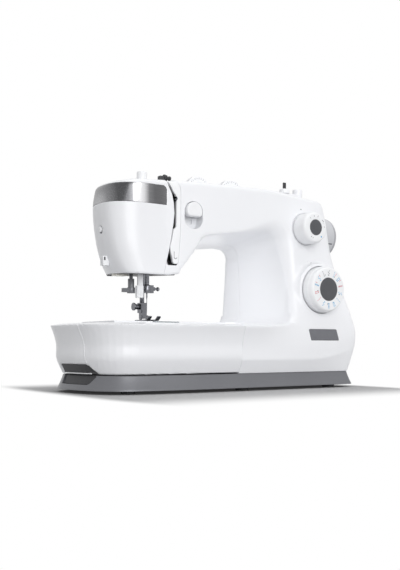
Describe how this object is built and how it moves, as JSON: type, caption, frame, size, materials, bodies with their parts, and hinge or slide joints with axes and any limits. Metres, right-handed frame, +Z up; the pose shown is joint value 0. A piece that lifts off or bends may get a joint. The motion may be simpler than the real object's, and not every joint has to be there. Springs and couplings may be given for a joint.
{
  "type": "sewing machine",
  "caption": "Free-arm sewing machine with white moulded covers, silver base, front and top dials, handwheel, slide-off accessory tray and a working needle, presser foot and feed",
  "frame": {"origin": "on the table, under the middle of the machine's bounding box", "axes": "+X along the bed to the handwheel, +Y away from the person sewing, +Z up"},
  "size_m": [0.4212, 0.176, 0.286],
  "materials": {
    "white_plastic": "gloss white moulded plastic",
    "dial_white": "satin white moulded plastic",
    "base_silver": "satin silver paint",
    "band_chrome": "brushed chrome",
    "dark_plastic": "fine matt",
    "grey_plastic": "satin grey",
    "steel": "ground and polished",
    "cast_alloy": "as cast",
    "bush_brass": "turned",
    "belt_rubber": "moulded",
    "foot_rubber": "moulded",
    "clear_plastic": "clear tinted plastic",
    "board_green": "solder mask",
    "lamp_white": "lamp housing"
  },
  "bodies": {
    "machine": {"rubber_feet": "foot_rubber", "base_plate": "base_silver", "front_cover": "white_plastic", "rear_cover": "white_plastic", "face_plate": "white_plastic", "face_band": "band_chrome", "head_base": "dark_plastic", "thread_channel": "white_plastic", "free_arm_cover": "white_plastic", "needle_plate": "steel", "name_plate": "grey_plastic", "main_frame": "cast_alloy", "shaft_bushes": "bush_brass", "timing_belt": "belt_rubber", "drive_belt": "belt_rubber", "motor": "cast_alloy", "bobbin_case": "dark_plastic", "lamp": "lamp_white", "top_thread_guide": "dark_plastic", "spool_pin": "white_plastic", "circuit_board": "board_green", "power_inlet": "dark_plastic", "screws": "steel"},
    "handwheel_shaft": {"main_shaft": "steel", "drive_pulleys": "grey_plastic", "handwheel": "white_plastic"},
    "connecting_rod": {"connecting_rod": "steel"},
    "lower_shaft": {"lower_shaft": "steel"},
    "rotary_hook": {"rotary_hook": "steel"},
    "motor_pulley": {"motor_pulley": "grey_plastic"},
    "needle_bar_frame": {"needle_bar_frame": "cast_alloy"},
    "needle_bar": {"needle_bar": "steel", "needle_clamp": "steel", "needle": "steel"},
    "clamp_screw": {"clamp_screw": "steel"},
    "presser_bar": {"presser_bar": "steel", "foot_holder": "steel", "presser_spring": "steel"},
    "foot_screw": {"foot_screw": "steel"},
    "presser_foot": {"presser_foot": "steel"},
    "presser_lifter": {"presser_lifter": "dark_plastic"},
    "take_up_lever": {"take_up_lever": "steel"},
    "needle_threader": {"needle_threader": "grey_plastic"},
    "buttonhole_lever": {"buttonhole_lever": "white_plastic"},
    "feed_bar": {"feed_bar": "cast_alloy"},
    "feed_dog": {"feed_dog": "steel"},
    "bobbin": {"bobbin": "clear_plastic"},
    "bobbin_cover": {"bobbin_cover": "clear_plastic"},
    "accessory_tray": {"accessory_tray": "white_plastic", "tray_grip": "dark_plastic"},
    "tray_lid": {"tray_lid": "white_plastic"},
    "tension_dial": {"tension_dial": "dial_white"},
    "width_dial": {"width_dial": "dial_white"},
    "pressure_dial": {"pressure_dial": "dial_white"},
    "length_dial": {"length_dial": "dial_white"},
    "pattern_dial": {"pattern_dial": "dial_white"},
    "reverse_lever": {"reverse_lever": "white_plastic"},
    "winder_spindle": {"winder_spindle": "dial_white"},
    "carry_handle": {"carry_handle": "white_plastic"},
    "power_switch": {"power_switch": "dark_plastic"}
  },
  "joints": [
    {"name": "handwheel_turn", "type": "hinge", "parent": "machine", "child": "handwheel_shaft", "pos_m": [0, 0.006, 0.216], "axis": [1, 0, 0], "continuous": true},
    {"name": "rod_turn", "type": "hinge", "parent": "handwheel_shaft", "child": "connecting_rod", "pos_m": [-0.0715, 0.006, 0.231], "axis": [1, 0, 0], "continuous": true},
    {"name": "lower_shaft_turn", "type": "hinge", "parent": "machine", "child": "lower_shaft", "pos_m": [0, 0.006, 0.046], "axis": [1, 0, 0], "continuous": true},
    {"name": "hook_turn", "type": "hinge", "parent": "machine", "child": "rotary_hook", "pos_m": [-0.0956, -0.013, 0.06], "axis": [0, 0, 1], "continuous": true},
    {"name": "motor_turn", "type": "hinge", "parent": "machine", "child": "motor_pulley", "pos_m": [0.15, 0.044, 0.072], "axis": [1, 0, 0], "continuous": true},
    {"name": "zigzag_swing", "type": "hinge", "parent": "machine", "child": "needle_bar_frame", "pos_m": [-0.1076, 0.012, 0.244], "axis": [0, 1, 0], "range_deg": [-1.2, 1.2]},
    {"name": "needle_stroke", "type": "slide", "parent": "needle_bar_frame", "child": "needle_bar", "axis": [0, 0, 1], "range_m": [-0.03, 0]},
    {"name": "clamp_screw_turn", "type": "hinge", "parent": "needle_bar", "child": "clamp_screw", "pos_m": [-0.0856, 0.005, 0.1295], "axis": [1, 0, 0], "range_deg": [0, 360]},
    {"name": "presser_lift", "type": "slide", "parent": "machine", "child": "presser_bar", "axis": [0, 0, 1], "range_m": [0, 0.006], "deforming": ["presser_spring"]},
    {"name": "foot_screw_turn", "type": "hinge", "parent": "presser_bar", "child": "foot_screw", "pos_m": [-0.1036, 0.018, 0.107], "axis": [1, 0, 0], "range_deg": [0, 360]},
    {"name": "foot_tilt", "type": "hinge", "parent": "presser_bar", "child": "presser_foot", "pos_m": [-0.0956, 0.0135, 0.094], "axis": [1, 0, 0], "range_deg": [-3, 3]},
    {"name": "lifter_turn", "type": "hinge", "parent": "machine", "child": "presser_lifter", "pos_m": [-0.084, 0.06, 0.165], "axis": [0, 1, 0], "range_deg": [0, 60]},
    {"name": "take_up_swing", "type": "hinge", "parent": "machine", "child": "take_up_lever", "pos_m": [-0.075, 0.028, 0.236], "axis": [1, 0, 0], "range_deg": [0, 50]},
    {"name": "threader_press", "type": "slide", "parent": "machine", "child": "needle_threader", "axis": [0, 0, 1], "range_m": [-0.02, 0], "stiffness_N_per_m": 60, "springref_m": 0.004},
    {"name": "buttonhole_pull", "type": "slide", "parent": "machine", "child": "buttonhole_lever", "axis": [0, 0, 1], "range_m": [-0.026, 0]},
    {"name": "feed_travel", "type": "slide", "parent": "machine", "child": "feed_bar", "axis": [0, 1, 0], "range_m": [-0.002, 0.002]},
    {"name": "feed_drop", "type": "slide", "parent": "feed_bar", "child": "feed_dog", "axis": [0, 0, 1], "range_m": [-0.0025, 0]},
    {"name": "bobbin_turn", "type": "hinge", "parent": "machine", "child": "bobbin", "pos_m": [-0.0956, -0.013, 0.07], "axis": [0, 0, 1], "continuous": true},
    {"name": "bobbin_cover_slide", "type": "slide", "parent": "machine", "child": "bobbin_cover", "axis": [0, -1, 0], "range_m": [0, 0.018]},
    {"name": "tray_pull", "type": "slide", "parent": "machine", "child": "accessory_tray", "axis": [-1, 0, 0], "range_m": [0, 0.17]},
    {"name": "lid_open", "type": "hinge", "parent": "accessory_tray", "child": "tray_lid", "pos_m": [-0.076, -0.0705, 0.0831], "axis": [1, 0, 0], "range_deg": [0, 110]},
    {"name": "tension_turn", "type": "hinge", "parent": "machine", "child": "tension_dial", "pos_m": [-0.03, -0.011, 0.258], "axis": [0, 1, 0], "range_deg": [-150, 150]},
    {"name": "width_turn", "type": "hinge", "parent": "machine", "child": "width_dial", "pos_m": [0.023, -0.011, 0.2595], "axis": [0, 1, 0], "range_deg": [-150, 150]},
    {"name": "pressure_turn", "type": "hinge", "parent": "machine", "child": "pressure_dial", "pos_m": [-0.0956, 0.018, 0.27], "axis": [0, 0, 1], "range_deg": [-180, 180]},
    {"name": "length_turn", "type": "hinge", "parent": "machine", "child": "length_dial", "pos_m": [0.116, -0.065, 0.215], "axis": [0, 1, 0], "range_deg": [-150, 150]},
    {"name": "pattern_turn", "type": "hinge", "parent": "machine", "child": "pattern_dial", "pos_m": [0.1315, -0.075, 0.1325], "axis": [0, 1, 0], "continuous": true},
    {"name": "reverse_press", "type": "hinge", "parent": "machine", "child": "reverse_lever", "pos_m": [0.01, -0.025, 0.222], "axis": [0, -1, 0], "range_deg": [0, 8.5], "stiffness_Nm_per_rad": 0.4, "springref_deg": -2.86},
    {"name": "winder_turn", "type": "hinge", "parent": "machine", "child": "winder_spindle", "pos_m": [0.118, -0.012, 0.27], "axis": [0, 0, 1], "continuous": true},
    {"name": "handle_lift", "type": "hinge", "parent": "machine", "child": "carry_handle", "pos_m": [0.031, 0.079, 0.254], "axis": [1, 0, 0], "range_deg": [0, 180]},
    {"name": "switch_rock", "type": "hinge", "parent": "machine", "child": "power_switch", "pos_m": [0.1915, -0.042, 0.066], "axis": [0, 1, 0], "range_deg": [0, 16]}
  ],
  "couplings": [
    {"joint": "rod_turn", "follows": "handwheel_turn", "ratio": -1},
    {"joint": "lower_shaft_turn", "follows": "handwheel_turn", "ratio": 1},
    {"joint": "hook_turn", "follows": "handwheel_turn", "ratio": 2},
    {"joint": "motor_turn", "follows": "handwheel_turn", "ratio": 3.6667},
    {"joint": "lifter_turn", "follows": "presser_lift", "rad_per_m": 174.5}
  ]
}
